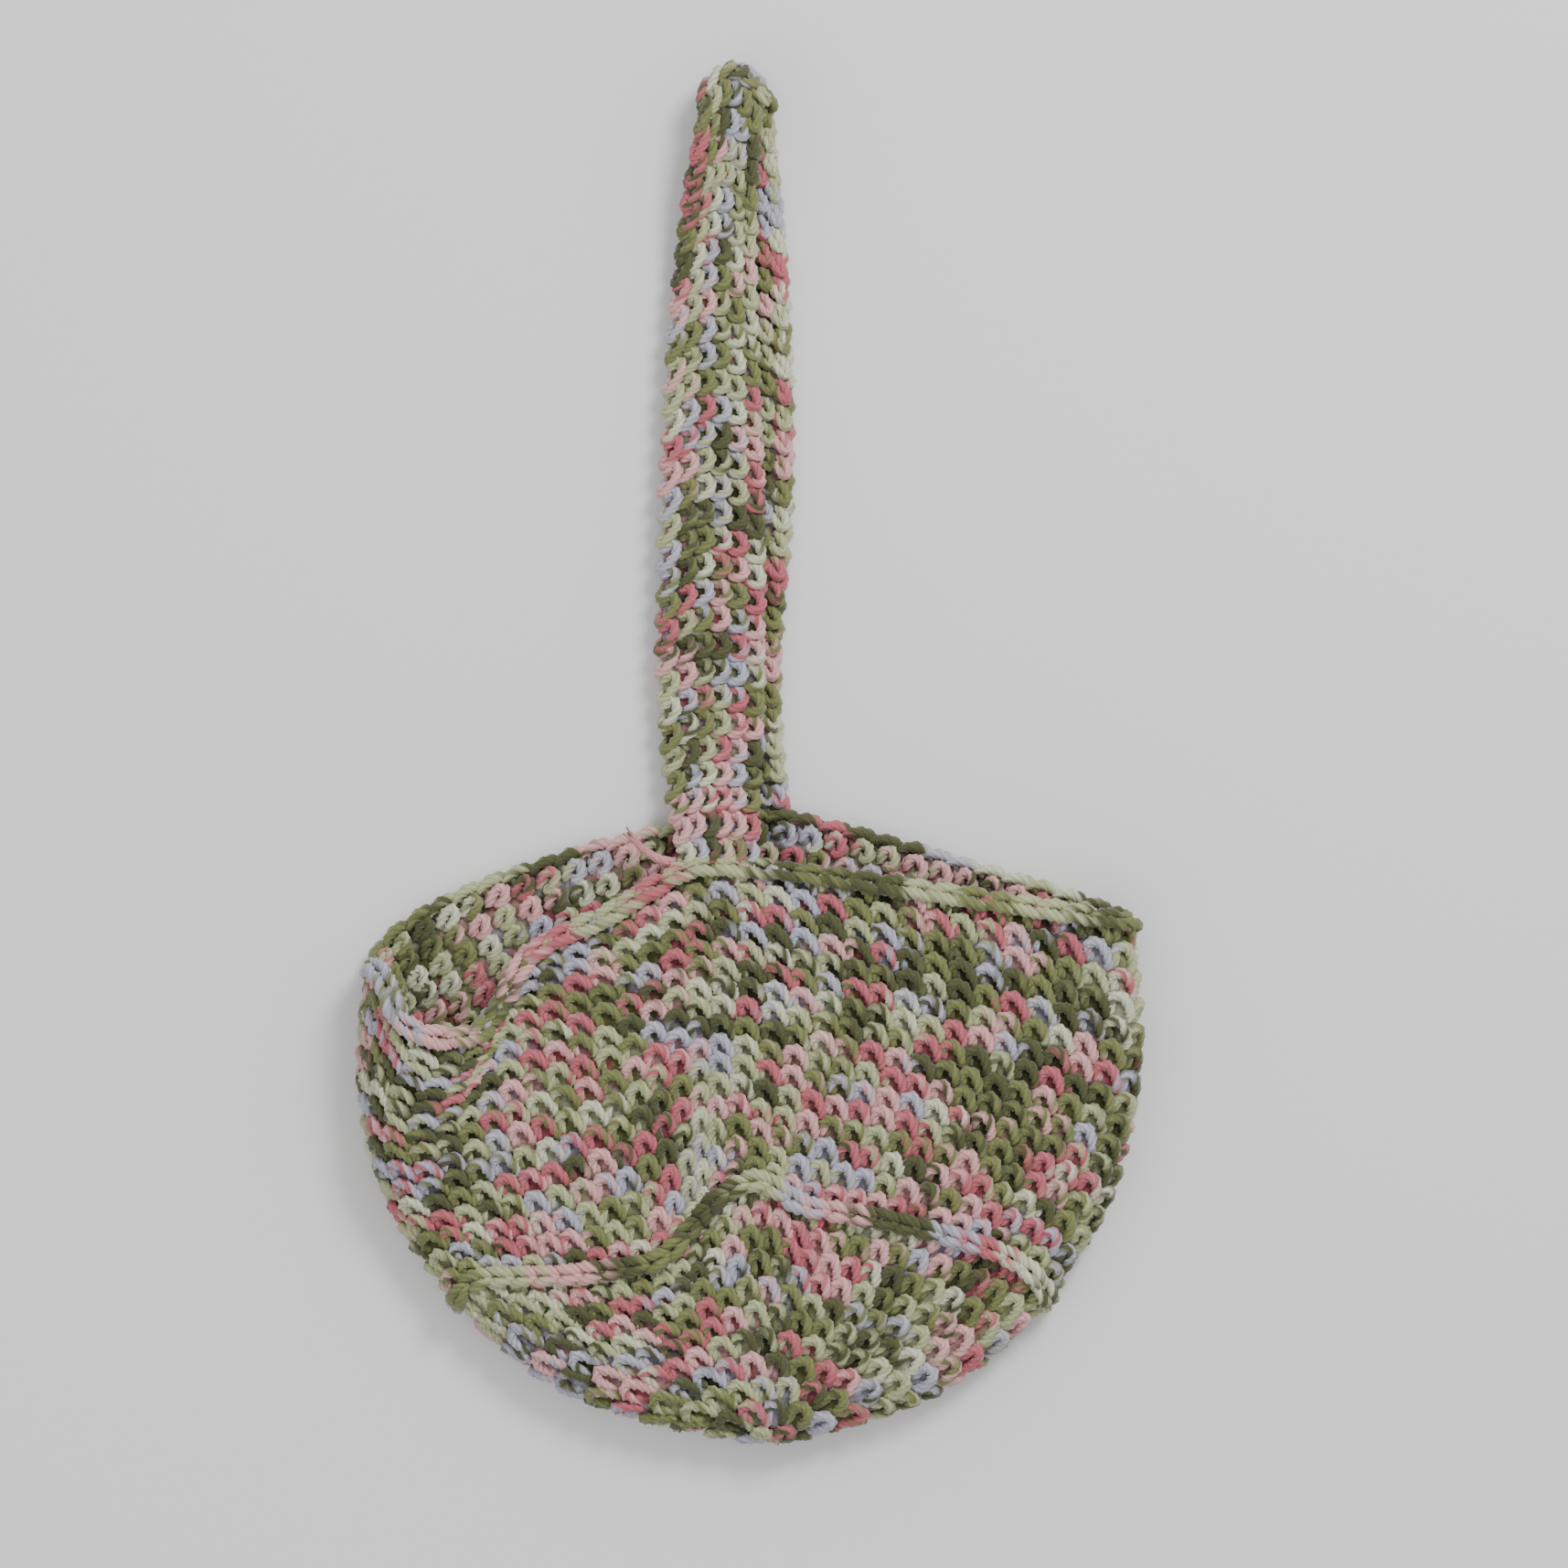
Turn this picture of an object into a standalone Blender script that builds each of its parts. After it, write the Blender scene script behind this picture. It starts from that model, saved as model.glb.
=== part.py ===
import math
from collections import namedtuple

import bmesh
import bpy
import numpy as np

# A small round-bottomed pouch crocheted in rounds of single crochet, lying flat on its back.
# +X is to the right, +Y runs from the bottom of the pouch to the top of its strap, +Z is up.
# The origin is on the surface that the pouch lies on, at the middle of its length and width.

MM = 0.001

# Sizes of the pouch
BAG_WIDTH = 197 * MM
BAG_HEIGHT = 159 * MM
FABRIC_THICKNESS = 4.5 * MM
LAYER_SPACING = 10.5 * MM
RIDGE_WIDTH = 4.0 * MM
RIDGE_RISE = 1.5 * MM
EDGING_WIDTH = 4.4 * MM
EDGING_RISE = 0.7 * MM

# Sizes of the strap, which is a long band folded over into a loop
STRAP_REACH = 188 * MM
STRAP_WIDTH = 25 * MM
STRAP_THICKNESS = 4.2 * MM
STRAP_FOLD_SPACING = 11.0 * MM
STRAP_ARCH = 8.0 * MM
STRAP_LEG_GAP = 0.5 * MM

# Sizes of the yarn end beside the foot of the strap
TAIL_RADIUS = 1.35 * MM
TAIL_WIDTH = 12.75 * MM
TAIL_HEIGHT = 9.3 * MM
TAIL_LIFT = 3.4 * MM
TAIL_DROOP = 15 * MM
TAIL_DROOP_START = 0.7
TAIL_TAPER = 0.6
TAIL_POINTS = 10

PIECE_GAP = 0.3 * MM
SEAM_GAP = 0.7 * MM
FOOT_GAP = 0.6 * MM

# How finely the forms are divided
AROUND = 72
OUTLINE_COURSES = 121
SURFACE_COURSES = 161
ROUND_TURNS = 241
WALL_ROWS = 16
BASE_ROWS = 9
STRAP_ACROSS = 6
LEG_ROWS = 24
FOLD_ROWS = 8

# Where the ridge and the rim lie among the courses, how far apart two courses are taken to find
# which way the fabric faces, and the least sine of the angle between a seam and the columns
RIDGE_COURSE = 1.0
RIM_COURSE = 2.0
FACING_COURSES = 0.02
STEEPEST_SEAM = 0.35

BAG_BOTTOM = -(BAG_HEIGHT + STRAP_REACH) / 2
STRAP_TOP = (BAG_HEIGHT + STRAP_REACH) / 2
HALF_SPAN = (BAG_WIDTH - FABRIC_THICKNESS) / 2
HALF_THICKNESS = FABRIC_THICKNESS / 2

# Rounds of the pouch. The course is 0 at the middle of the base, 1 at the ridge and 2 at the rim.
# Ends and peaks are shares of half the width (x) and of the height (y), and the runs are shares
# of the height measured along the fabric from the middle of the base.
Round = namedtuple("Round", "name course right_x right_y left_x left_y front_x front_run "
                            "back_x back_run left_step right_step roundness back_left_roundness")
ROUNDS = [
    Round("middle", 0.00, 0.067, 0.000, 0.067, 0.000, 0.067, 0.000, 0.067, 0.000, 0.000, 0.000, 1.00, 1.00),
    Round("base_inner", 0.36, 0.354, 0.050, -0.263, 0.036, 0.040, 0.150, 0.050, 0.155, 0.015, 0.005, 1.00, 1.00),
    Round("base_outer", 0.73, 0.590, 0.128, -0.555, 0.115, 0.025, 0.317, 0.045, 0.305, 0.070, 0.030, 0.95, 0.85),
    Round("ridge", 1.00, 0.755, 0.228, -0.750, 0.225, 0.015, 0.438, 0.040, 0.418, 0.115, 0.038, 0.90, 0.65),
    Round("wall_low", 1.25, 0.895, 0.362, -0.892, 0.343, -0.050, 0.573, 0.040, 0.568, 0.085, 0.012, 0.50, 0.45),
    Round("wall_middle", 1.50, 0.972, 0.505, -0.978, 0.480, -0.095, 0.700, 0.040, 0.719, 0.050, 0.000, 0.28, 0.30),
    Round("wall_high", 1.75, 0.998, 0.660, -1.000, 0.625, -0.105, 0.824, 0.042, 0.869, 0.030, 0.000, 0.20, 0.45),
    Round("rim", 2.00, 0.978, 0.830, -0.975, 0.757, -0.115, 0.948, 0.043, 1.020, 0.030, 0.000, 0.14, 0.60),
]
# The widths over which the rounds step down beside the peak, how soft the peak is, and how close to
# an end the sags fade away
LEFT_STEP_WIDTH = 0.29
RIGHT_STEP_WIDTH = 0.15
PEAK_SOFTNESS = 0.08
SAG_END_FADE = 0.08

# Places where the rounds of the front sag towards the bottom: where they are, as shares of half
# the width, how wide they are to each side, how deep at the rim as a share of the height, how far
# the middle drifts per course and how fast the sag fades below the rim.
Sag = namedtuple("Sag", "name x drift right_width left_width depth fade")
SAGS = [
    Sag("mouth_tuck", -0.740, 0.17, 0.120, 0.215, 0.130, 0.42),
    Sag("mouth_slant", -0.530, 0.00, 0.260, 0.200, 0.020, 0.30),
]

# Dents, folds and bulges of the front: a line from (x, y) to (end_x, end_y) in shares of half the
# width and of the height, with a half width as a share of half the width, and what it adds to
# the layer spacing at either end, as shares of it.
Fold = namedtuple("Fold", "name x y end_x end_y half_width rise end_rise")
FOLDS = [
    Fold("side_bulge", -0.845, 0.690, -0.850, 0.500, 0.170, 1.55, 0.55),
    Fold("bulge_foot", -0.850, 0.500, -0.800, 0.360, 0.160, 0.30, 0.00),
    Fold("mouth_crease", -0.640, 0.700, -0.780, 0.500, 0.050, -0.45, -0.10),
    Fold("rolled_lip", -0.420, 0.800, -0.610, 0.745, 0.110, -0.22, -0.30),
    Fold("middle_dent", -0.110, 0.650, -0.140, 0.355, 0.060, -0.20, -0.30),
    Fold("right_swell", 0.300, 0.700, 0.600, 0.450, 0.260, 0.10, 0.14),
    Fold("left_swell", -0.350, 0.580, -0.420, 0.380, 0.180, 0.14, 0.16),
    Fold("base_swell", -0.200, 0.180, 0.420, 0.200, 0.220, 0.10, 0.08),
]

# Stations of the strap from the foot on the front rim over the top to the foot on the back rim:
# the reach is a share of the way from the rim to the top, and the middle and the width are shares
# of the strap's width.
Station = namedtuple("Station", "name leg reach middle width")
STATIONS = [
    Station("front_foot", "front", 0.00, -0.335, 0.74),
    Station("front_neck", "front", 0.06, -0.360, 0.82),
    Station("front_low", "front", 0.15, -0.395, 0.95),
    Station("front_middle", "front", 0.50, -0.400, 1.00),
    Station("front_high", "front", 0.80, -0.360, 0.78),
    Station("front_top", "front", 1.00, -0.225, 0.58),
    Station("back_top", "back", 1.00, -0.115, 0.62),
    Station("back_high", "back", 0.80, -0.090, 0.84),
    Station("back_middle", "back", 0.50, -0.105, 1.00),
    Station("back_low", "back", 0.15, -0.190, 0.92),
    Station("back_foot", "back", 0.00, -0.020, 0.76),
]
# Where along the front leg the foot has come down onto the back leg, and where it starts to rise
# into the loop at the top
FOOT_FLAT = 0.03
FOOT_DOWN = 0.15
LOOP_RISE = 0.78

# Colours and finish of each piece's yarn
FINISHES = {
    "bag_base": ((0.30, 0.33, 0.18, 1.0), 0.85),
    "base_ridge": ((0.45, 0.48, 0.30, 1.0), 0.85),
    "bag_wall": ((0.36, 0.36, 0.24, 1.0), 0.85),
    "rim_edging": ((0.52, 0.47, 0.40, 1.0), 0.85),
    "strap": ((0.38, 0.42, 0.27, 1.0), 0.85),
    "yarn_tail": ((0.66, 0.32, 0.34, 1.0), 0.85),
}


def clear_scene():
    for scene_object in list(bpy.data.objects):
        bpy.data.objects.remove(scene_object, do_unlink=True)


def make_collection(name):
    collection = bpy.data.collections.new(name)
    bpy.context.scene.collection.children.link(collection)
    return collection


def make_finish(name):
    colour, roughness = FINISHES[name]
    finish = bpy.data.materials.new(name + "_yarn")
    finish.use_nodes = True
    shader = finish.node_tree.nodes["Principled BSDF"]
    shader.inputs["Base Color"].default_value = colour
    shader.inputs["Roughness"].default_value = roughness
    shader.inputs["Metallic"].default_value = 0.0
    return finish


def add_piece(collection, name, piece_mesh):
    piece = bpy.data.objects.new(name, piece_mesh)
    piece_mesh.materials.append(make_finish(name))
    collection.objects.link(piece)
    return piece


def smooth_column(table, key, field, places):
    # A cubic curve through one column of a table, with the slope at each row taken from its
    # neighbours.
    keys = np.array([getattr(row, key) for row in table])
    values = np.array([getattr(row, field) for row in table])
    slopes = np.gradient(values, keys)
    spans = np.clip(np.searchsorted(keys, places, side="right") - 1, 0, len(keys) - 2)
    width = keys[spans + 1] - keys[spans]
    t = np.clip((places - keys[spans]) / width, 0.0, 1.0)
    start = (2 * t ** 3 - 3 * t ** 2 + 1) * values[spans]
    start_slope = (t ** 3 - 2 * t ** 2 + t) * slopes[spans] * width
    end = (3 * t ** 2 - 2 * t ** 3) * values[spans + 1]
    end_slope = (t ** 3 - t ** 2) * slopes[spans + 1] * width
    return start + start_slope + end + end_slope


def across(share):
    return share * HALF_SPAN


def up(share):
    return BAG_BOTTOM + HALF_THICKNESS + share * (BAG_HEIGHT - FABRIC_THICKNESS)


def make_outline():
    # The plan of the fold round the pouch, from the left end of the rim round the bottom to the
    # right end of the rim.
    courses = np.linspace(0.0, RIM_COURSE, OUTLINE_COURSES)
    sides = []
    for side in ("left", "right"):
        x = across(smooth_column(ROUNDS, "course", side + "_x", courses))
        y = up(smooth_column(ROUNDS, "course", side + "_y", courses))
        sides.append(np.stack([x, y], axis=1))
    return np.concatenate([sides[0][::-1], sides[1][1:]])


def distance_to_line(points, line):
    # The least distance from each point of the plan to a line of straight runs.
    start = line[:-1]
    run = line[1:] - line[:-1]
    length = np.maximum((run ** 2).sum(axis=1), 1e-16)
    reach = points[:, None, :] - start[None, :, :]
    share = np.clip((reach * run).sum(axis=2) / length, 0.0, 1.0)
    foot = reach - share[:, :, None] * run
    return np.sqrt((foot ** 2).sum(axis=2)).min(axis=1)


def fold_inset(run):
    # How far in from the outline a point lies in plan, that far round the fold.
    radius = LAYER_SPACING / 2
    turned = np.minimum(run / radius, math.pi / 2)
    return radius * (1 - np.cos(turned)) + np.maximum(run - radius * math.pi / 2, 0.0)


def layer_spacing(plan):
    # The height of the front layer over the back one, with the folds and bulges of the front.
    spacing = np.full(len(plan), LAYER_SPACING)
    for fold in FOLDS:
        start = np.array([across(fold.x), up(fold.y)])
        run = np.array([across(fold.end_x), up(fold.end_y)]) - start
        share = np.clip(((plan - start) @ run) / (run @ run), 0.0, 1.0)
        offset = plan - start - share[:, None] * run
        distance = np.sqrt((offset ** 2).sum(axis=1)) / across(fold.half_width)
        rise = fold.rise + (fold.end_rise - fold.rise) * share
        spacing += LAYER_SPACING * rise * np.exp(-distance ** 2)
    return spacing


def sag_at(x, course):
    # How far a round of the front sags towards the bottom, as a share of the height.
    sagging = np.zeros(len(x))
    below_rim = RIM_COURSE - course
    for sag in SAGS:
        offset = x / HALF_SPAN - (sag.x - sag.drift * below_rim)
        right = np.exp(-(np.maximum(offset, 0.0) / sag.right_width) ** 2)
        left = np.exp(-(np.maximum(-offset, 0.0) / sag.left_width) ** 3)
        sagging += sag.depth * right * left * math.exp(-(below_rim / sag.fade) ** 2)
    return sagging


def round_plan(course, layer, turns):
    # Half of one round in plan, from its right end (turn 0) to its left end (turn 1).
    place = np.array([course])
    row = {field: float(smooth_column(ROUNDS, "course", field, place)[0]) for field in Round._fields[2:]}
    peak_x = across(row[layer + "_x"])
    peak_run = row[layer + "_run"] * (BAG_HEIGHT - FABRIC_THICKNESS)
    peak_y = BAG_BOTTOM + HALF_THICKNESS + float(fold_inset(np.array([peak_run]))[0])
    angle = (0.5 - turns) * math.pi
    on_right = angle >= 0
    end_x = np.where(on_right, across(row["right_x"]), across(row["left_x"]))
    end_y = np.where(on_right, up(row["right_y"]), up(row["left_y"]))
    reach = np.abs(np.sin(angle))
    x = peak_x + (end_x - peak_x) * reach
    soft = (np.sqrt(reach ** 2 + PEAK_SOFTNESS ** 2) - PEAK_SOFTNESS)
    soft /= math.sqrt(1 + PEAK_SOFTNESS ** 2) - PEAK_SOFTNESS
    roundness = np.where(on_right | (layer == "front"), row["roundness"], row["back_left_roundness"])
    fall = (1 - roundness) * soft + roundness * (1 - np.abs(np.cos(angle)))
    y = peak_y + (end_y - peak_y) * fall
    if layer == "front":
        near_end = np.minimum(np.abs(x - end_x) / across(SAG_END_FADE), 1.0)
        width = np.where(on_right, RIGHT_STEP_WIDTH, LEFT_STEP_WIDTH)
        depth = np.where(on_right, row["right_step"], row["left_step"])
        step = np.clip(np.abs(x - peak_x) / across(width), 0.0, 1.0)
        step = step * step * (3 - 2 * step) * (1 - reach ** 4)
        y = y - BAG_HEIGHT * (depth * step + sag_at(x, course) * near_end)
    return np.stack([x, y], axis=1)


def round_points(course, layer, outline):
    # Half of one round in space, evenly spaced along the yarn from its right end to its left end.
    turns = np.linspace(0.0, 1.0, ROUND_TURNS)
    plan = round_plan(course, layer, turns)
    spacing = layer_spacing(plan)
    inset = np.minimum(distance_to_line(plan, outline) / (spacing / 2), 1.0)
    rise = np.sqrt(np.maximum(1 - (1 - inset) ** 2, 0.0))
    side = 1 if layer == "front" else -1
    z = HALF_THICKNESS + spacing / 2 * (1 + side * rise)
    line = np.concatenate([plan, z[:, None]], axis=1)
    steps = np.sqrt((np.diff(line, axis=0) ** 2).sum(axis=1))
    along = np.concatenate([[0.0], np.cumsum(steps)])
    even = np.linspace(0.0, along[-1], AROUND // 2 + 1)
    return np.stack([np.interp(even, along, line[:, axis]) for axis in range(3)], axis=1)


def make_pouch_surface():
    # The middle of the fabric: a grid of points, by course from the middle of the base to the
    # rim, and round from the right end over the front to the left end and back beneath.
    outline = make_outline()
    courses = np.linspace(0.0, RIM_COURSE, SURFACE_COURSES)
    rounds = []
    for course in courses:
        front = round_points(course, "front", outline)
        back = round_points(course, "back", outline)
        rounds.append(np.concatenate([front[:-1], back[:0:-1]]))
    return courses, np.array(rounds)


def surface_round(surface, places):
    # One round of the surface, with a course of its own at each place round it.
    courses, grid = surface
    points = np.empty((AROUND, 3))
    for j in range(AROUND):
        for axis in range(3):
            points[j, axis] = np.interp(places[j], courses, grid[:, j, axis])
    return points


def seam_slant(surface, course):
    # How much longer a seam's width is along the fabric's columns than square to its rounds.
    courses, grid = surface
    nearest = int(np.argmin(np.abs(courses - course)))
    below = grid[max(nearest - 2, 0)]
    above = grid[min(nearest + 2, len(courses) - 1)]
    column = above - below
    column /= np.linalg.norm(column, axis=1)[:, None]
    along = np.roll(grid[nearest], -1, axis=0) - np.roll(grid[nearest], 1, axis=0)
    along /= np.linalg.norm(along, axis=1)[:, None]
    squareness = np.linalg.norm(np.cross(column, along), axis=1)
    slant = 1 / np.maximum(squareness, STEEPEST_SEAM)
    return np.max([np.roll(slant, shift, axis=0) for shift in (-1, 0, 1)], axis=0)


def courses_away(surface, course, distance):
    # The course at each place round that lies a distance from a course, square to it.
    courses, grid = surface
    steps = np.sqrt((np.diff(grid, axis=0) ** 2).sum(axis=2))
    along = np.concatenate([np.zeros((1, AROUND)), np.cumsum(steps, axis=0)])
    distances = distance * seam_slant(surface, course)
    places = np.empty(AROUND)
    for j in range(AROUND):
        here = np.interp(course, courses, along[:, j])
        places[j] = np.interp(here + distances[j], along[:, j], courses)
    return places


def join_rounds(sheet, rounds):
    # Quads between rounds of vertices that each close on themselves.
    for lower, upper in zip(rounds, rounds[1:]):
        for j in range(AROUND):
            after = (j + 1) % AROUND
            sheet.faces.new((lower[j], lower[after], upper[after], upper[j]))


def finish_mesh(name, sheet):
    bmesh.ops.recalc_face_normals(sheet, faces=sheet.faces[:])
    piece_mesh = bpy.data.meshes.new(name)
    sheet.to_mesh(piece_mesh)
    sheet.free()
    piece_mesh.shade_smooth()
    return piece_mesh


def thicken(piece, thickness):
    wall = piece.modifiers.new("fabric", "SOLIDIFY")
    wall.thickness = thickness
    wall.offset = 0.0


def make_wall(collection, surface):
    # The side of the pouch, one open tube of fabric from the ridge to the edging of the rim.
    low = courses_away(surface, RIDGE_COURSE, RIDGE_WIDTH / 2 + SEAM_GAP)
    high = courses_away(surface, RIM_COURSE, -EDGING_WIDTH - SEAM_GAP)
    sheet = bmesh.new()
    rounds = []
    for share in np.linspace(0.0, 1.0, WALL_ROWS + 1):
        points = surface_round(surface, low + (high - low) * share)
        rounds.append([sheet.verts.new(point) for point in points])
    join_rounds(sheet, rounds)
    piece = add_piece(collection, "bag_wall", finish_mesh("bag_wall", sheet))
    thicken(piece, FABRIC_THICKNESS)


def make_base(collection, surface):
    # The round bottom of the pouch, folded in half at its middle.
    high = courses_away(surface, RIDGE_COURSE, -RIDGE_WIDTH / 2 - SEAM_GAP)
    sheet = bmesh.new()
    middle = sheet.verts.new(surface[1][0, 0])
    rounds = []
    for share in np.linspace(1.0 / BASE_ROWS, 1.0, BASE_ROWS):
        points = surface_round(surface, high * share)
        rounds.append([sheet.verts.new(point) for point in points])
    for j in range(AROUND):
        sheet.faces.new((middle, rounds[0][(j + 1) % AROUND], rounds[0][j]))
    join_rounds(sheet, rounds)
    piece = add_piece(collection, "bag_base", finish_mesh("bag_base", sheet))
    thicken(piece, FABRIC_THICKNESS)


def surface_normals(surface, places):
    # The direction out of the pouch at each place round a round.
    points = surface_round(surface, places)
    above = surface_round(surface, np.minimum(places + FACING_COURSES, RIM_COURSE))
    column = above - surface_round(surface, places - FACING_COURSES)
    along = np.roll(points, -1, axis=0) - np.roll(points, 1, axis=0)
    out = np.cross(along, column)
    out /= np.linalg.norm(out, axis=1)[:, None]
    if out[AROUND // 4][2] < 0:
        out = -out
    return out


def make_band(collection, name, surface, course, centre, width, rise, inner_rise):
    # A raised band of stitches round the pouch. Where it lies underneath it is pressed flat.
    out = surface_normals(surface, courses_away(surface, course, centre))
    inner = -HALF_THICKNESS - inner_rise
    outer = HALF_THICKNESS + rise
    corner = width / 2
    section = [(-corner, 0.5 * inner), (-0.5 * corner, inner), (0.5 * corner, inner), (corner, 0.5 * inner),
               (corner, 0.5 * HALF_THICKNESS), (0.5 * corner, outer), (-0.5 * corner, outer),
               (-corner, 0.5 * HALF_THICKNESS)]
    rows = {}
    for offset in sorted({along for along, away in section}):
        rows[offset] = surface_round(surface, courses_away(surface, course, centre + offset))
    sheet = bmesh.new()
    loops = []
    for along, away in section:
        points = rows[along] + out * away
        points[:, 2] = np.maximum(points[:, 2], 0.0)
        loops.append([sheet.verts.new(point) for point in points])
    join_rounds(sheet, loops + loops[:1])
    add_piece(collection, name, finish_mesh(name, sheet))


def rim_line(surface, leg):
    # The rim of the layer that a leg of the strap joins, from left to right.
    rim = surface[1][-1]
    half = AROUND // 2
    if leg == "front":
        return rim[:half + 1][::-1]
    return np.concatenate([rim[half:], rim[:1]])


def ease(share):
    share = min(max(share, 0.0), 1.0)
    return share * share * (3 - 2 * share)


def leg_section(leg, reach):
    # The middle and the width of a leg of the strap, a share of the way to its top.
    stations = [station for station in STATIONS if station.leg == leg]
    stations.sort(key=lambda station: station.reach)
    place = np.array([reach])
    middle = smooth_column(stations, "reach", "middle", place)[0] * STRAP_WIDTH
    width = smooth_column(stations, "reach", "width", place)[0] * STRAP_WIDTH
    return float(middle), float(width)


def make_strap(collection, surface):
    # One band of fabric from the front rim up over the top and back down to the back rim.
    low = STRAP_THICKNESS / 2
    stacked = low + STRAP_THICKNESS + STRAP_LEG_GAP
    radius = STRAP_FOLD_SPACING / 2
    fold_y = STRAP_TOP - STRAP_THICKNESS / 2 - radius
    spans = np.linspace(-1.0, 1.0, STRAP_ACROSS + 1)
    legs = {}
    for leg in ("front", "back"):
        line = rim_line(surface, leg)
        rows = []
        for reach in np.linspace(0.0, 1.0, LEG_ROWS):
            middle, width = leg_section(leg, reach)
            row = []
            for span in spans:
                x = middle + width * span / 2
                foot_y = np.interp(x, line[:, 0], line[:, 1]) + FOOT_GAP
                top_y = fold_y - STRAP_ARCH * span * span
                y = foot_y + (top_y - foot_y) * reach
                z = low
                if leg == "front":
                    rim_z = np.interp(x, line[:, 0], line[:, 2])
                    settled = ease((reach - FOOT_FLAT) / (FOOT_DOWN - FOOT_FLAT))
                    z = rim_z + (stacked - rim_z) * settled
                    z += (low + 2 * radius - z) * ease((reach - LOOP_RISE) / (1 - LOOP_RISE))
                row.append((x, y, z))
            rows.append(row)
        legs[leg] = rows
    front_middle, front_width = leg_section("front", 1.0)
    back_middle, back_width = leg_section("back", 1.0)
    top_rows = []
    for turn in np.linspace(0.0, 1.0, FOLD_ROWS + 1)[1:-1]:
        angle = turn * math.pi
        middle = front_middle + (back_middle - front_middle) * ease(turn)
        width = front_width + (back_width - front_width) * ease(turn)
        row = []
        for span in spans:
            y = fold_y - STRAP_ARCH * span * span + radius * math.sin(angle)
            z = low + radius * (1 + math.cos(angle))
            row.append((middle + width * span / 2, y, z))
        top_rows.append(row)
    sheet = bmesh.new()
    band = legs["front"] + top_rows + legs["back"][::-1]
    verts = [[sheet.verts.new(point) for point in row] for row in band]
    for here, after in zip(verts, verts[1:]):
        for k in range(STRAP_ACROSS):
            sheet.faces.new((here[k], here[k + 1], after[k + 1], after[k]))
    piece = add_piece(collection, "strap", finish_mesh("strap", sheet))
    thicken(piece, STRAP_THICKNESS)


def make_tail(collection, surface):
    # The frayed end of the joining yarn, which curls out to the left of the strap's foot, passes
    # over the back rim and comes down beside the pouch.
    line = rim_line(surface, "front")
    middle, width = leg_section("front", 0.0)
    start_x = middle - width / 2 - TAIL_RADIUS - PIECE_GAP
    start_y = np.interp(start_x, line[:, 0], line[:, 1]) + TAIL_LIFT
    start_z = np.interp(start_x, line[:, 0], line[:, 2])
    rest_z = FABRIC_THICKNESS + EDGING_RISE + PIECE_GAP + TAIL_RADIUS
    spline_data = bpy.data.curves.new("yarn_tail", "CURVE")
    spline_data.dimensions = "3D"
    spline_data.bevel_depth = TAIL_RADIUS
    spline_data.bevel_resolution = 2
    spline_data.use_fill_caps = True
    spline = spline_data.splines.new("POLY")
    spline.points.add(TAIL_POINTS - 1)
    for k in range(TAIL_POINTS):
        share = k / (TAIL_POINTS - 1)
        x = start_x - TAIL_WIDTH * share
        y = start_y + TAIL_HEIGHT * share ** 2
        z = start_z + (rest_z - start_z) * ease(2 * share)
        z -= TAIL_DROOP * max(0.0, share - TAIL_DROOP_START) ** 2
        spline.points[k].co = (x, y, z, 1.0)
        spline.points[k].radius = 1.0 - TAIL_TAPER * share ** 2
    tail = bpy.data.objects.new("yarn_tail", spline_data)
    spline_data.materials.append(make_finish("yarn_tail"))
    collection.objects.link(tail)


def main():
    clear_scene()
    collection = make_collection("crochet_bag")
    surface = make_pouch_surface()
    make_base(collection, surface)
    make_band(collection, "base_ridge", surface, RIDGE_COURSE, 0.0, RIDGE_WIDTH, RIDGE_RISE, 0.0)
    make_wall(collection, surface)
    make_band(collection, "rim_edging", surface, RIM_COURSE, -EDGING_WIDTH / 2, EDGING_WIDTH,
              EDGING_RISE, EDGING_RISE)
    make_strap(collection, surface)
    make_tail(collection, surface)


main()
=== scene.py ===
import math

import bmesh
import bpy
import numpy as np
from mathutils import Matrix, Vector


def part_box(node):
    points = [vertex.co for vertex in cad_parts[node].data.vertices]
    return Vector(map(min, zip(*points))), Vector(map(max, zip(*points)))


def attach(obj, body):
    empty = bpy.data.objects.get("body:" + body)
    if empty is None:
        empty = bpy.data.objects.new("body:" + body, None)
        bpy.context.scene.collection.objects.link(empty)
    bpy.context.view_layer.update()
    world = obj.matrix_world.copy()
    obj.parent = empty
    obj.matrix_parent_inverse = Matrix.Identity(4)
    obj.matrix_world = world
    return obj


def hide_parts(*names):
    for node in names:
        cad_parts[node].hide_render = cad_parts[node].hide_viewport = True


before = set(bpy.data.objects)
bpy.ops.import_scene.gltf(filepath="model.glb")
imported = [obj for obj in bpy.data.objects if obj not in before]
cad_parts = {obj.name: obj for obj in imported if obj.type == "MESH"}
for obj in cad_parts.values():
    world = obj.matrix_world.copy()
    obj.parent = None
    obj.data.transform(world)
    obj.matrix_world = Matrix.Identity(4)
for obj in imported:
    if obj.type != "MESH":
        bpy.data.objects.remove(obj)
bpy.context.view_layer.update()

# A crocheted pouch lying on its back, made yarn by yarn. Lengths are in metres, and a stitch's
# table holds shares of a stitch across, shares of a row up and millimetres out of the fabric.
mm = 0.001


# The shape of the pouch's fabric, the same forms as the frame's solids

pouch = {
    "width": 0.197,
    "height": 0.159,
    "thickness": 0.0045,
    "layerSpacing": 0.0105,
    "strapReach": 0.188,
    "leftStepWidth": 0.29,
    "rightStepWidth": 0.15,
    "peakSoftness": 0.08,
    "sagEndFade": 0.08,
    "ridgeCourse": 1.0,
    "rimCourse": 2.0,
    "courses": 161,
    "around": 288,
    "turns": 241,
}

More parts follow.
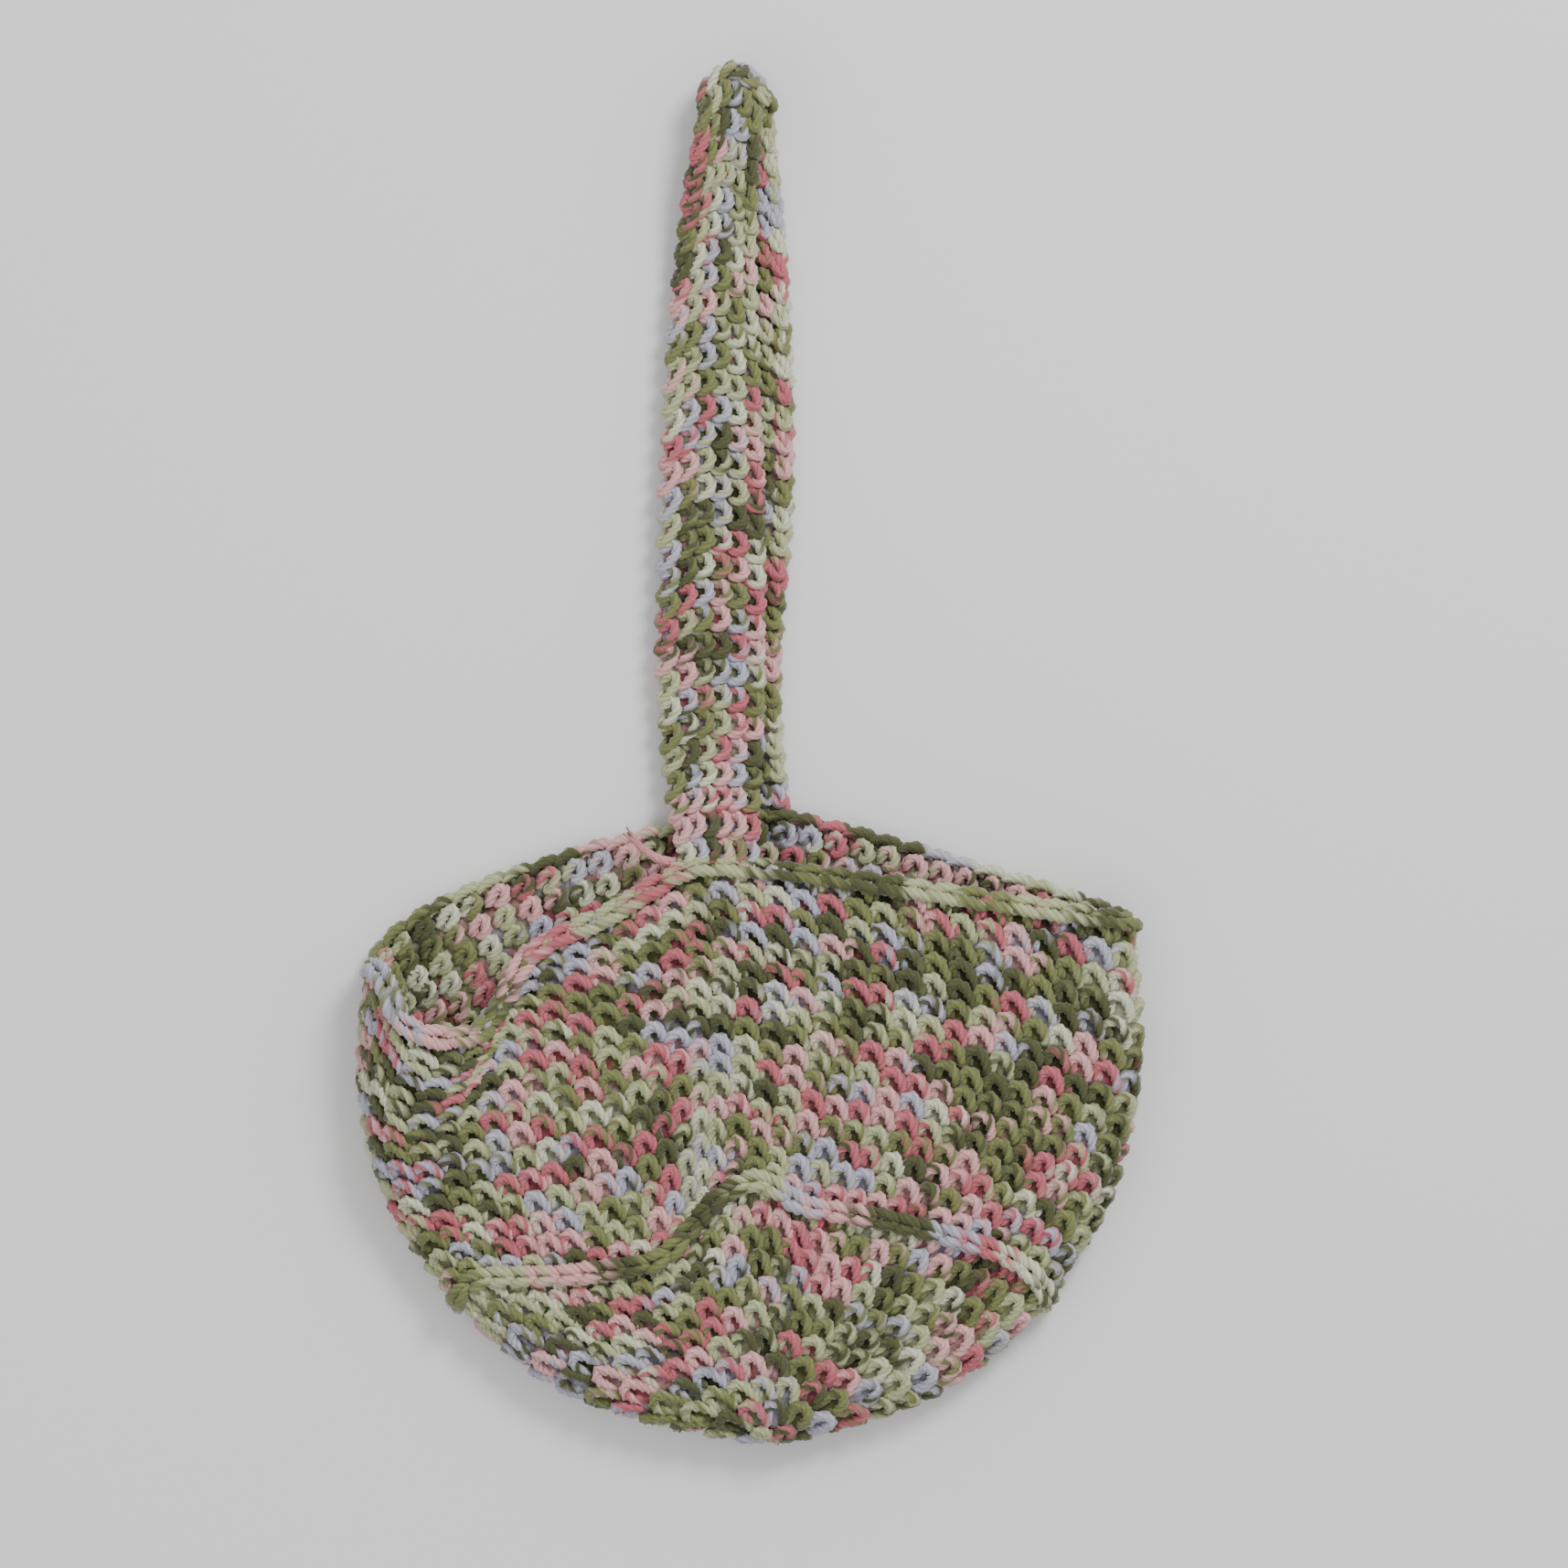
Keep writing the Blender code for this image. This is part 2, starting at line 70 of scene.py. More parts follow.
# Rounds from the middle of the base (course 0) over the ridge (1) to the rim (2): shares of half
# the width for x, of the height for y and of the height along the fabric for the runs
pouchRounds = {
    "course": [0.00, 0.36, 0.73, 1.00, 1.25, 1.50, 1.75, 2.00],
    "rightX": [0.067, 0.354, 0.590, 0.755, 0.895, 0.972, 0.998, 0.978],
    "rightY": [0.000, 0.050, 0.128, 0.228, 0.362, 0.505, 0.660, 0.830],
    "leftX": [0.067, -0.263, -0.555, -0.750, -0.892, -0.978, -1.000, -0.975],
    "leftY": [0.000, 0.036, 0.115, 0.225, 0.343, 0.480, 0.625, 0.757],
    "frontX": [0.067, 0.040, 0.025, 0.015, -0.050, -0.095, -0.105, -0.115],
    "frontRun": [0.000, 0.150, 0.317, 0.438, 0.573, 0.700, 0.824, 0.948],
    "backX": [0.067, 0.050, 0.045, 0.040, 0.040, 0.040, 0.042, 0.043],
    "backRun": [0.000, 0.155, 0.305, 0.418, 0.568, 0.719, 0.869, 1.020],
    "leftStep": [0.000, 0.015, 0.070, 0.115, 0.085, 0.050, 0.030, 0.030],
    "rightStep": [0.000, 0.005, 0.030, 0.038, 0.012, 0.000, 0.000, 0.000],
    "roundness": [1.00, 1.00, 0.95, 0.90, 0.50, 0.28, 0.20, 0.14],
    "backLeftRoundness": [1.00, 1.00, 0.85, 0.65, 0.45, 0.30, 0.45, 0.60],
}

# Where the rounds of the front sag: x, drift, width to the right and left, depth and fade
pouchSags = {
    "mouthTuck": (-0.740, 0.17, 0.120, 0.215, 0.130, 0.42),
    "mouthSlant": (-0.530, 0.00, 0.260, 0.200, 0.020, 0.30),
}

# Folds of the front: x, y, end x, end y, half width, rise and end rise
pouchFolds = {
    "sideBulge": (-0.845, 0.690, -0.850, 0.500, 0.170, 1.55, 0.55),
    "bulgeFoot": (-0.850, 0.500, -0.800, 0.360, 0.160, 0.30, 0.00),
    "mouthCrease": (-0.640, 0.700, -0.780, 0.500, 0.050, -0.45, -0.10),
    "rolledLip": (-0.420, 0.800, -0.610, 0.745, 0.110, -0.22, -0.30),
    "middleDent": (-0.110, 0.650, -0.140, 0.355, 0.060, -0.20, -0.30),
    "rightSwell": (0.300, 0.700, 0.600, 0.450, 0.260, 0.10, 0.14),
    "leftSwell": (-0.350, 0.580, -0.420, 0.380, 0.180, 0.14, 0.16),
    "baseSwell": (-0.200, 0.180, 0.420, 0.200, 0.220, 0.10, 0.08),
}

halfSpan = (pouch["width"] - pouch["thickness"]) / 2
halfThickness = pouch["thickness"] / 2
bagBottom = -(pouch["height"] + pouch["strapReach"]) / 2


def smoothColumn(table, key, field, places):  # a cubic curve through one column of a table
    keys = np.array(table[key], float)
    values = np.array(table[field], float)
    slopes = np.gradient(values, keys)
    spans = np.clip(np.searchsorted(keys, places, side="right") - 1, 0, len(keys) - 2)
    width = keys[spans + 1] - keys[spans]
    t = np.clip((places - keys[spans]) / width, 0.0, 1.0)
    start = (2 * t ** 3 - 3 * t ** 2 + 1) * values[spans]
    startSlope = (t ** 3 - 2 * t ** 2 + t) * slopes[spans] * width
    end = (3 * t ** 2 - 2 * t ** 3) * values[spans + 1]
    endSlope = (t ** 3 - t ** 2) * slopes[spans + 1] * width
    return start + startSlope + end + endSlope


def upShare(share):
    return bagBottom + halfThickness + share * (pouch["height"] - pouch["thickness"])


def makeOutline():  # the fold round the pouch in plan, from the left end of the rim to the right
    courses = np.linspace(0.0, pouch["rimCourse"], 121)
    sides = []
    for side in ("left", "right"):
        x = halfSpan * smoothColumn(pouchRounds, "course", side + "X", courses)
        y = upShare(smoothColumn(pouchRounds, "course", side + "Y", courses))
        sides.append(np.stack([x, y], axis=1))
    return np.concatenate([sides[0][::-1], sides[1][1:]])


def distanceToLine(points, line):
    start = line[:-1]
    run = line[1:] - line[:-1]
    length = np.maximum((run ** 2).sum(axis=1), 1e-16)
    reach = points[:, None, :] - start[None, :, :]
    share = np.clip((reach * run).sum(axis=2) / length, 0.0, 1.0)
    foot = reach - share[:, :, None] * run
    return np.sqrt((foot ** 2).sum(axis=2)).min(axis=1)


def foldInset(run):  # how far in from the outline a point lies in plan, that far round the fold
    radius = pouch["layerSpacing"] / 2
    turned = min(run / radius, math.pi / 2)
    return radius * (1 - math.cos(turned)) + max(run - radius * math.pi / 2, 0.0)


def layerSpacing(plan):  # the height of the front layer over the back one
    spacing = np.full(len(plan), pouch["layerSpacing"])
    for x, y, endX, endY, halfWidth, rise, endRise in pouchFolds.values():
        start = np.array([halfSpan * x, upShare(y)])
        run = np.array([halfSpan * endX, upShare(endY)]) - start
        share = np.clip(((plan - start) @ run) / (run @ run), 0.0, 1.0)
        offset = plan - start - share[:, None] * run
        distance = np.sqrt((offset ** 2).sum(axis=1)) / (halfSpan * halfWidth)
        spacing += pouch["layerSpacing"] * (rise + (endRise - rise) * share) * np.exp(-distance ** 2)
    return spacing


def sagAt(x, course):
    sagging = np.zeros(len(x))
    belowRim = pouch["rimCourse"] - course
    for middle, drift, rightWidth, leftWidth, depth, fade in pouchSags.values():
        offset = x / halfSpan - (middle - drift * belowRim)
        right = np.exp(-(np.maximum(offset, 0.0) / rightWidth) ** 2)
        left = np.exp(-(np.maximum(-offset, 0.0) / leftWidth) ** 3)
        sagging += depth * right * left * math.exp(-(belowRim / fade) ** 2)
    return sagging


def roundPlan(course, layer, turns):  # half of one round in plan, from its right end to its left
    place = np.array([course])
    row = {field: float(smoothColumn(pouchRounds, "course", field, place)[0]) for field in pouchRounds}
    peakX = halfSpan * row[layer + "X"]
    peakRun = row[layer + "Run"] * (pouch["height"] - pouch["thickness"])
    peakY = bagBottom + halfThickness + foldInset(peakRun)
    angle = (0.5 - turns) * math.pi
    onRight = angle >= 0
    endX = np.where(onRight, halfSpan * row["rightX"], halfSpan * row["leftX"])
    endY = np.where(onRight, upShare(row["rightY"]), upShare(row["leftY"]))
    reach = np.abs(np.sin(angle))
    x = peakX + (endX - peakX) * reach
    softness = pouch["peakSoftness"]
    soft = np.sqrt(reach ** 2 + softness ** 2) - softness
    soft /= math.sqrt(1 + softness ** 2) - softness
    roundness = np.where(onRight | (layer == "front"), row["roundness"], row["backLeftRoundness"])
    fall = (1 - roundness) * soft + roundness * (1 - np.abs(np.cos(angle)))
    y = peakY + (endY - peakY) * fall
    if layer == "front":
        nearEnd = np.minimum(np.abs(x - endX) / (halfSpan * pouch["sagEndFade"]), 1.0)
        width = np.where(onRight, pouch["rightStepWidth"], pouch["leftStepWidth"])
        depth = np.where(onRight, row["rightStep"], row["leftStep"])
        step = np.clip(np.abs(x - peakX) / (halfSpan * width), 0.0, 1.0)
        step = step * step * (3 - 2 * step) * (1 - reach ** 4)
        y = y - pouch["height"] * (depth * step + sagAt(x, course) * nearEnd)
    return np.stack([x, y], axis=1)


def roundPoints(course, layer, outline):  # half of one round in space, evenly spaced
    plan = roundPlan(course, layer, np.linspace(0.0, 1.0, pouch["turns"]))
    spacing = layerSpacing(plan)
    inset = np.minimum(distanceToLine(plan, outline) / (spacing / 2), 1.0)
    rise = np.sqrt(np.maximum(1 - (1 - inset) ** 2, 0.0))
    side = 1 if layer == "front" else -1
    z = halfThickness + spacing / 2 * (1 + side * rise)
    line = np.concatenate([plan, z[:, None]], axis=1)
    along = alongLine(line)
    even = np.linspace(0.0, along[-1], pouch["around"] // 2 + 1)
    return np.stack([np.interp(even, along, line[:, axis]) for axis in range(3)], axis=1)


def alongLine(line):
    steps = np.sqrt((np.diff(line, axis=0) ** 2).sum(axis=1))
    return np.concatenate([[0.0], np.cumsum(steps)])


def unitLength(vectors):
    return vectors / np.maximum(np.linalg.norm(vectors, axis=-1, keepdims=True), 1e-12)


def makePouchGrid():  # the middle of the fabric, by course and round from the right end
    outline = makeOutline()
    rounds = []
    for course in np.linspace(0.0, pouch["rimCourse"], pouch["courses"]):
        front = roundPoints(course, "front", outline)
        back = roundPoints(course, "back", outline)
        rounds.append(np.concatenate([front[:-1], back[:0:-1]]))
    points = np.array(rounds)
    aroundRun = np.roll(points, -2, axis=1) - np.roll(points, 2, axis=1)
    upRun = np.gradient(points, axis=0)
    facing = unitLength(np.cross(upRun, aroundRun))
    facing[:3] = facing[3]
    for _ in range(3):  # evens out the facing where a fold turns sharply
        facing = facing + np.roll(facing, 1, axis=1) + np.roll(facing, -1, axis=1)
        facing[1:-1] = facing[1:-1] + 0.5 * (facing[2:] + facing[:-2])
        facing = unitLength(facing)
    return points, facing


def onPouch(field, course, turn):  # reads a grid between its points, and a little past the rim
    rows, columns = field.shape[:2]
    row = np.maximum(course, 0.0) / pouch["rimCourse"] * (rows - 1)
    lower = np.clip(row.astype(int), 0, rows - 2)
    rowShare = (row - lower)[..., None]
    column = (turn % 1.0) * columns
    left = column.astype(int) % columns
    right = (left + 1) % columns
    columnShare = (column - np.floor(column))[..., None]
    below = field[lower, left] * (1 - columnShare) + field[lower, right] * columnShare
    above = field[lower + 1, left] * (1 - columnShare) + field[lower + 1, right] * columnShare
    return below * (1 - rowShare) + above * rowShare


pouchPoints, pouchFacing = makePouchGrid()
print("pouch surface ready")


# The yarn: four plies twisted together, its colours changing every few stitches

yarn = {
    "radius": 1.38 * mm,
    "plies": 4,
    "plyDepth": 0.15,
    "turnLength": 9.0 * mm,
    "colourSeed": 11,
    "shortestRun": 0.010,
    "longestRun": 0.036,
    "blend": 0.006,
    "plyLag": 0.007,
    "length": 60.0,
}

# Colours of the yarn and how often each comes up
yarnColours = {
    "darkOlive": ((0.085, 0.092, 0.036), 0.17),
    "olive": ((0.190, 0.205, 0.075), 0.18),
    "sage": ((0.440, 0.465, 0.260), 0.19),
    "paleSage": ((0.600, 0.620, 0.450), 0.06),
    "rose": ((0.500, 0.135, 0.160), 0.15),
    "pink": ((0.700, 0.385, 0.380), 0.12),
    "lilacGrey": ((0.450, 0.440, 0.530), 0.13),
}


def makeColourRuns():  # where along the yarn each colour starts, and the colours
    dice = np.random.default_rng(yarn["colourSeed"])
    names = list(yarnColours)
    chances = np.array([yarnColours[name][1] for name in names])
    chances = chances / chances.sum()
    places = [0.0]
    colours = []
    last = -1
    while places[-1] < yarn["length"]:
        pick = int(dice.choice(len(names), p=chances))
        if pick == last:
            pick = (pick + 1) % len(names)
        last = pick
        colours.append(yarnColours[names[pick]][0])
        places.append(places[-1] + dice.uniform(yarn["shortestRun"], yarn["longestRun"]))
    return np.array(places[:-1]), np.array(colours)


runPlaces, runColours = makeColourRuns()


def colourAlong(distance):  # the yarn's colour at each distance along it
    distance = np.mod(distance, yarn["length"])
    run = np.clip(np.searchsorted(runPlaces, distance, side="right") - 1, 0, len(runPlaces) - 1)
    before = np.maximum(run - 1, 0)
    share = np.clip((distance - runPlaces[run]) / yarn["blend"], 0.0, 1.0)
    share = (share * share * (3 - 2 * share))[:, None]
    return runColours[before] * (1 - share) + runColours[run] * share


def plyColours(distance):  # the colours round the yarn, where each ply changes a little earlier or later
    sides = []
    for side in range(2 * yarn["plies"]):
        lag = yarn["plyLag"] * math.sin(2.4 * (side // 2))
        sides.append(colourAlong(distance + lag))
    return np.stack(sides, axis=1).reshape(-1, 3)


def makePlyProfile():
    data = bpy.data.curves.new("plyProfile", "CURVE")
    data.dimensions = "2D"
    spline = data.splines.new("POLY")
    corners = 2 * yarn["plies"]
    spline.points.add(corners - 1)
    for k in range(corners):
        radius = yarn["radius"] * (1 + (yarn["plyDepth"] if k % 2 == 0 else -yarn["plyDepth"]))
        angle = 2 * math.pi * k / corners
        spline.points[k].co = (radius * math.cos(angle), radius * math.sin(angle), 0.0, 1.0)
    spline.use_cyclic_u = True
    profile = bpy.data.objects.new("plyProfile", data)
    bpy.context.scene.collection.objects.link(profile)
    return profile


plyProfile = makePlyProfile()


def spinYarn(name, strands, material, replaced=(), tint=None):
    # Strands are tuples of points, whether they close, their thickness along them, and their
    # place along the yarn's colours, unless a tint gives them all one colour.
    data = bpy.data.curves.new(name, "CURVE")
    data.dimensions = "3D"
    data.twist_mode = "MINIMUM"
    data.bevel_mode = "OBJECT"
    data.bevel_object = plyProfile
    data.use_fill_caps = False
    sides = 2 * yarn["plies"]
    colours = []
    distances = []
    sizes = []
    for points, closed, thickness, start in strands:
        along = alongLine(points)
        spline = data.splines.new("POLY")
        spline.points.add(len(points) - 1)
        spline.use_cyclic_u = closed
        corners = np.concatenate([points, np.ones((len(points), 1))], axis=1)
        spline.points.foreach_set("co", corners.ravel())
        turns = along / yarn["turnLength"]
        if closed:
            total = along[-1] + np.linalg.norm(points[0] - points[-1])
            turns = along / total * round(total / yarn["turnLength"])
        spline.points.foreach_set("tilt", turns * 2 * math.pi)
        spline.points.foreach_set("radius", np.broadcast_to(thickness, len(points)).astype(float))
        if tint is None:
            colours.append(plyColours(start + along))
        else:
            colours.append(np.tile(tint, (len(points) * sides, 1)))
        distances.append(start + along)
        sizes.append(len(points))
    curve = bpy.data.objects.new(name + "Curve", data)
    bpy.context.scene.collection.objects.link(curve)
    bpy.context.view_layer.update()
    mesh = bpy.data.meshes.new_from_object(curve.evaluated_get(bpy.context.evaluated_depsgraph_get()))
    mesh.name = name
    bpy.data.objects.remove(curve)
    finishYarnMesh(mesh, sizes, sides, np.concatenate(colours), distances)
    mesh.materials.clear()
    mesh.materials.append(material)
    piece = bpy.data.objects.new(name, mesh)
    bpy.context.scene.collection.objects.link(piece)
    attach(piece, "root")
    if replaced:
        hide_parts(*replaced)
    print(name, len(mesh.polygons) * 2, "triangles")
    return piece


def finishYarnMesh(mesh, sizes, sides, colours, distances):
    # Pressed flat where it lies, with its colour and its place round and along the yarn
    count = len(mesh.vertices)
    places = np.empty(count * 3, np.float32)
    mesh.vertices.foreach_get("co", places)
    places = places.reshape(-1, 3)
    places[:, 2] = np.maximum(places[:, 2], 0.0)
    mesh.vertices.foreach_set("co", places.ravel())
    colour = mesh.attributes.new("yarnColour", "FLOAT_COLOR", "POINT")
    shades = np.concatenate([colours, np.ones((len(colours), 1))], axis=1)
    colour.data.foreach_set("color", shades.astype(np.float32).ravel())
    starts = np.concatenate([[0], np.cumsum(np.array(sizes) * sides)])
    corners = np.empty(len(mesh.loops), np.int64)
    mesh.loops.foreach_get("vertex_index", corners)
    quads = corners.reshape(-1, 4)
    strand = np.searchsorted(starts, quads[:, 0], side="right") - 1
    local = quads - starts[strand][:, None]
    point = local // sides
    side = local % sides
    wrapsRound = (side.max(axis=1) - side.min(axis=1)) > 1
    side = np.where(wrapsRound[:, None] & (side == 0), sides, side)
    wrapsAlong = (point.max(axis=1) - point.min(axis=1)) > 1
    lengths = np.array(sizes)[strand]
    point = np.where(wrapsAlong[:, None] & (point == 0), lengths[:, None], point)
    longer = []
    for distance in distances:
        longer.append(np.append(distance, 2 * distance[-1] - distance[-2]))
    longStarts = np.concatenate([[0], np.cumsum(np.array(sizes) + 1)])[:-1]
    alongYarn = np.concatenate(longer)[longStarts[strand][:, None] + point]
    place = np.stack([side / sides, alongYarn / (2 * math.pi * yarn["radius"])], axis=2)
    layer = mesh.uv_layers.get("yarnPlace") or mesh.uv_layers.new(name="yarnPlace")
    layer.data.foreach_set("uv", place.astype(np.float32).ravel())
    for other in [uv for uv in mesh.uv_layers if uv.name != "yarnPlace"]:
        mesh.uv_layers.remove(other)
    sheet = bmesh.new()
    sheet.from_mesh(mesh)
    loose = [edge for edge in sheet.edges if edge.is_boundary]
    if loose:
        bmesh.ops.holes_fill(sheet, edges=loose, sides=sides)
    for face in sheet.faces:
        face.smooth = True
    sheet.to_mesh(mesh)
    sheet.free()


# Materials

def addNode(tree, kind, place, **settings):
    node = tree.nodes.new(kind)
    node.location = place
    for key, value in settings.items():
        setattr(node, key, value)
    return node


def doMath(tree, operation, place, first, second=None):
    node = addNode(tree, "ShaderNodeMath", place, operation=operation)
    for socket, value in zip(node.inputs, (first, second)):
        if value is None:
            continue
        if isinstance(value, (int, float)):
            socket.default_value = value
        else:
            tree.links.new(value, socket)
    return node.outputs[0]


def makePlyGroup():  # height of the plies and fibres, and a colour factor: painted shade darker in the grooves between the plies, with random tone along the fibres
    group = bpy.data.node_groups.new("twistedYarn", "ShaderNodeTree")
    face = group.interface
    face.new_socket("Place", in_out="INPUT", socket_type="NodeSocketVector")
    face.new_socket("Plies", in_out="INPUT", socket_type="NodeSocketFloat")
    face.new_socket("Height", in_out="OUTPUT", socket_type="NodeSocketFloat")
    face.new_socket("Shade", in_out="OUTPUT", socket_type="NodeSocketFloat")
    start = addNode(group, "NodeGroupInput", (-900, 0))
    end = addNode(group, "NodeGroupOutput", (700, 0))
    split = addNode(group, "ShaderNodeSeparateXYZ", (-700, 100))
    group.links.new(start.outputs["Place"], split.inputs[0])
    ply = doMath(group, "MULTIPLY", (-500, 200), split.outputs[0], start.outputs["Plies"])
    ply = doMath(group, "ADD", (-420, 200), ply, 0.5)
    ply = doMath(group, "FRACT", (-340, 200), ply)
    ply = doMath(group, "SUBTRACT", (-260, 200), ply, 0.5)
    ply = doMath(group, "ABSOLUTE", (-180, 200), ply)
    ply = doMath(group, "MULTIPLY", (-100, 200), ply, 2.0)  # 0 on a ply's crown, 1 in the groove
    square = doMath(group, "MULTIPLY", (-20, 200), ply, ply)
    crown = doMath(group, "SUBTRACT", (60, 200), 1.0, square)
    crown = doMath(group, "SQRT", (140, 200), crown)
    stretch = addNode(group, "ShaderNodeMapping", (-500, -150))
    stretch.inputs["Scale"].default_value = (16.0, 2.6, 1.0)
    group.links.new(start.outputs["Place"], stretch.inputs["Vector"])
    fibre = addNode(group, "ShaderNodeTexNoise", (-300, -150))
    fibre.inputs["Scale"].default_value = 1.0
    fibre.inputs["Detail"].default_value = 3.0
    fibre.inputs["Roughness"].default_value = 0.6
    group.links.new(stretch.outputs[0], fibre.inputs["Vector"])
    height = doMath(group, "MULTIPLY", (220, 0), fibre.outputs["Fac"], 0.55)
    height = doMath(group, "ADD", (300, 0), height, crown)
    # painted shade: the colour darker towards the grooves between the plies; the fibre flecks are random
    # tone
    shade = doMath(group, "MULTIPLY", (220, -150), crown, 0.45)
    fleck = doMath(group, "MULTIPLY", (220, -300), fibre.outputs["Fac"], 0.55)
    shade = doMath(group, "ADD", (300, -200), shade, fleck)
    shade = doMath(group, "ADD", (380, -200), shade, 0.33)
    group.links.new(height, end.inputs["Height"])
    group.links.new(shade, end.inputs["Shade"])
    return group


twistedYarn = makePlyGroup()


def makeYarnMaterial(name, look):
    material = bpy.data.materials.new(name)
    material.use_nodes = True
    tree = material.node_tree
    shader = tree.nodes["Principled BSDF"]
    colour = addNode(tree, "ShaderNodeAttribute", (-900, 200), attribute_name="yarnColour")
    place = addNode(tree, "ShaderNodeUVMap", (-900, -100), uv_map="yarnPlace")
    twist = addNode(tree, "ShaderNodeGroup", (-700, -100))
    twist.node_tree = twistedYarn
    twist.inputs["Plies"].default_value = yarn["plies"]
    tree.links.new(place.outputs[0], twist.inputs["Place"])
    # the base colour is the yarn colour times the twist's shade: painted shade in the ply grooves and random
    # tone along the fibres
    shade = addNode(tree, "ShaderNodeVectorMath", (-400, 150), operation="SCALE")
    tree.links.new(colour.outputs["Color"], shade.inputs[0])
    tree.links.new(twist.outputs["Shade"], shade.inputs["Scale"])
    tree.links.new(shade.outputs[0], shader.inputs["Base Color"])
    bump = addNode(tree, "ShaderNodeBump", (-400, -150))
    bump.inputs["Strength"].default_value = look["bump"]
    bump.inputs["Distance"].default_value = look["bumpHeight"]
    tree.links.new(twist.outputs["Height"], bump.inputs["Height"])
    tree.links.new(bump.outputs[0], shader.inputs["Normal"])
    shader.inputs["Roughness"].default_value = look["roughness"]
    shader.inputs["Specular IOR Level"].default_value = look["specular"]
    shader.inputs["Sheen Weight"].default_value = look["sheen"]
    shader.inputs["Sheen Roughness"].default_value = look["sheenRoughness"]
    return material


yarnLook = {
    "bump": 0.7,
    "bumpHeight": 0.3 * mm,
    "roughness": 0.78,
    "specular": 0.25,
    "sheen": 0.25,
    "sheenRoughness": 0.45,
}
bodyYarn = makeYarnMaterial("body_yarn", yarnLook)
edgingYarn = makeYarnMaterial("edging_yarn", yarnLook)
strapYarn = makeYarnMaterial("strap_yarn", yarnLook)
tailYarn = makeYarnMaterial("tail_yarn", yarnLook)


def makePackedShadeMaterial():  # the closely packed yarn seen deep between the stitches, dark from painted shade: the stitches' yarn colour darkened by a mottling noise for the shade deep in the holes
    material = bpy.data.materials.new("packed_yarn_painted_shade")
    material.use_nodes = True
    tree = material.node_tree
    shader = tree.nodes["Principled BSDF"]
    place = addNode(tree, "ShaderNodeTexCoord", (-900, 0))
    noise = addNode(tree, "ShaderNodeTexNoise", (-700, 0))
    noise.inputs["Scale"].default_value = 700.0
    noise.inputs["Detail"].default_value = 4.0
    colour = addNode(tree, "ShaderNodeAttribute", (-700, 250), attribute_name="yarnColour")
    # painted shade: the yarn colour darkened to under three quarters, about a third on average, mottled by
    # noise
    depth = doMath(tree, "MULTIPLY", (-500, 0), noise.outputs["Fac"], 0.75)
    shade = addNode(tree, "ShaderNodeVectorMath", (-300, 150), operation="SCALE")
    fine = addNode(tree, "ShaderNodeTexNoise", (-700, -300))
    fine.inputs["Scale"].default_value = 900.0
    bump = addNode(tree, "ShaderNodeBump", (-400, -300))
    bump.inputs["Strength"].default_value = 0.6
    bump.inputs["Distance"].default_value = 0.3 * mm
    tree.links.new(place.outputs["Object"], noise.inputs["Vector"])
    tree.links.new(place.outputs["Object"], fine.inputs["Vector"])
    tree.links.new(colour.outputs["Color"], shade.inputs[0])
    tree.links.new(depth, shade.inputs["Scale"])
    tree.links.new(shade.outputs[0], shader.inputs["Base Color"])
    tree.links.new(fine.outputs["Fac"], bump.inputs["Height"])
    tree.links.new(bump.outputs[0], shader.inputs["Normal"])
    shader.inputs["Roughness"].default_value = 0.95
    shader.inputs["Specular IOR Level"].default_value = 0.1
    return material


packedYarnPaintedShade = makePackedShadeMaterial()


# One single crochet, the yarn's way through it: out from under the stitch before, along a bar,
# over an arch, down a post, through to the inside, up there and back out

singleCrochet = {
    "across": [-0.285, -0.320, -0.340, -0.230, -0.080, 0.060, 0.180, 0.300, 0.390, 0.430, 0.400, 0.310,
               0.180, 0.080, 0.090, 0.220, 0.420, 0.600, 0.690],
    "up": [-0.22, 0.00, 0.25, 0.42, 0.49, 0.53, 0.46, 0.24, 0.00, -0.22, -0.42, -0.48,
           -0.36, -0.10, 0.18, 0.36, 0.33, 0.06, -0.18],
    "out": [0.10, 0.55, 1.00, 1.35, 1.45, 1.55, 1.60, 1.45, 1.15, 0.70, 0.00, -0.80,
            -1.25, -1.35, -1.35, -1.30, -1.20, -1.00, -0.50],
    "width": 6.35,
    "rowHeight": 5.2,
    "points": 25,
}


def smoothLine(points, count, shift=None):
    # Evenly spaced points on a Catmull-Rom curve. With a shift the line repeats, moved by it.
    points = np.array(points, float)
    if shift is None:
        ends = np.concatenate([[2 * points[0] - points[1]], points, [2 * points[-1] - points[-2]]])
    else:
        shift = np.array(shift, float)
        ends = np.concatenate([[points[-1] - shift], points, [points[0] + shift, points[1] + shift]])
    dense = []
    t = np.linspace(0.0, 1.0, 12, endpoint=False)[:, None]
    for a, b, c, d in zip(ends, ends[1:], ends[2:], ends[3:]):
        dense.append(0.5 * (2 * b + (c - a) * t + (2 * a - 5 * b + 4 * c - d) * t ** 2
                            + (3 * b - a - 3 * c + d) * t ** 3))
    dense.append(ends[-2][None])
    dense = np.concatenate(dense)
    along = alongLine(dense)
    even = np.linspace(0.0, along[-1], count, endpoint=shift is None)
    return np.stack([np.interp(even, along, dense[:, axis]) for axis in range(3)], axis=1)


def makeStitch(table):  # one stitch as evenly spaced points, still in shares and millimetres
    scale = np.array([table["width"], table["rowHeight"], 1.0])
    corners = np.stack([table["across"], table["up"], table["out"]], axis=1) * scale
    return smoothLine(corners, table["points"], shift=(table["width"], 0.0, 0.0)) / scale


stitchPath = makeStitch(singleCrochet)


